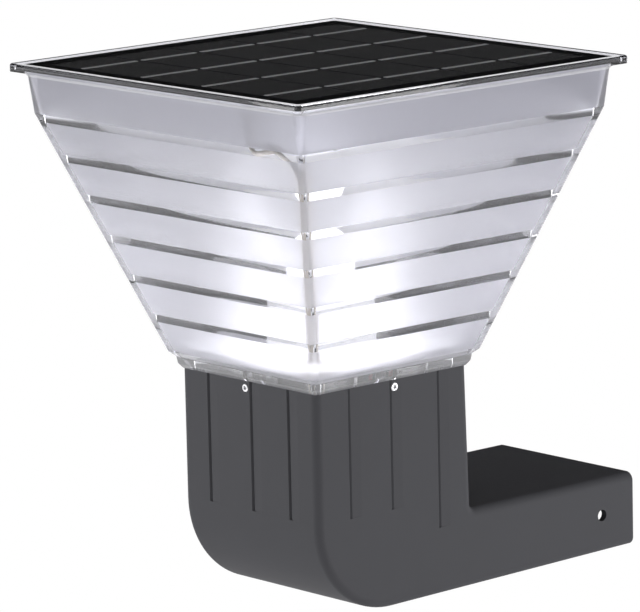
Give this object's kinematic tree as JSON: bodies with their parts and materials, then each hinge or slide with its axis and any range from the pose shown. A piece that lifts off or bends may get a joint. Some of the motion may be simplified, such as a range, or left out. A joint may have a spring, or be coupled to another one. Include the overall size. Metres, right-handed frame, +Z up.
{
  "type": "fence light",
  "caption": "Solar fence light on a wall arm: hollow L-shaped housing, clear funnel shade with inner ledges, flush solar panel on top, push button under the elbow.",
  "frame": {"origin": "middle of the arm's open wall end", "axes": "+Y out of the arm into the wall, +Z up, +X to the right as seen from the front"},
  "size_m": [0.186, 0.2347, 0.2349],
  "materials": {
    "housing_grey": "satin, finely grained dark grey",
    "clear_plastic": "clear, frosted on the inner faces between the ledges",
    "panel_clear": "clear gloss cover",
    "panel_back": "black board",
    "cell_black": "near-black cells",
    "ribbon_tin": "tinned ribbon, dull",
    "steel": "stainless, bright",
    "silicone_pale": "pale silicone, matt",
    "seal_rubber": "matt black",
    "grey_rubber": "matt dark grey",
    "black_plastic": "matt black",
    "white_plastic": "matt white",
    "nylon_white": "natural nylon",
    "lamp_board_white": "white solder mask on aluminium",
    "lamp_chip": "lit chips",
    "board_green": "green circuit board",
    "chip_black": "moulded chip black",
    "battery_wrap": "shrink wrap",
    "button_rubber": "matt black",
    "lead_brown": "pale brown jacket",
    "lead_red": "red jacket",
    "lead_black": "black jacket"
  },
  "bodies": {
    "light": {"housing": "housing_grey", "shade": "clear_plastic", "shade_gasket": "silicone_pale", "shade_screws": "steel", "panel_gasket": "seal_rubber", "panel_board": "panel_back", "solar_cells": "cell_black", "cell_ribbons": "ribbon_tin", "panel_cover": "panel_clear", "lead_outlet": "black_plastic", "lamp_tray": "white_plastic", "tray_screws": "steel", "lead_grommet": "grey_rubber", "lamp_board": "lamp_board_white", "lamp_chips": "lamp_chip", "lamp_board_screws": "steel", "gear_plate": "black_plastic", "gear_plate_screws": "steel", "battery_cell": "battery_wrap", "battery_strap": "white_plastic", "strap_screws": "steel", "control_board": "board_green", "control_board_screws": "steel", "control_chips": "chip_black", "lead_sockets": "nylon_white", "lead_plugs": "nylon_white", "switch_body": "black_plastic", "switch_seal": "seal_rubber", "switch_nut": "black_plastic", "panel_lead": "lead_brown", "lamp_lead": "lead_red", "battery_lead": "lead_red", "switch_lead": "lead_black"},
    "button": {"power_button": "button_rubber"}
  },
  "joints": [
    {"name": "button_press", "type": "slide", "parent": "light", "child": "button", "axis": [0, 0, 1], "range_m": [0, 0.0018], "stiffness_N_per_m": 500, "springref_m": -0.002}
  ]
}
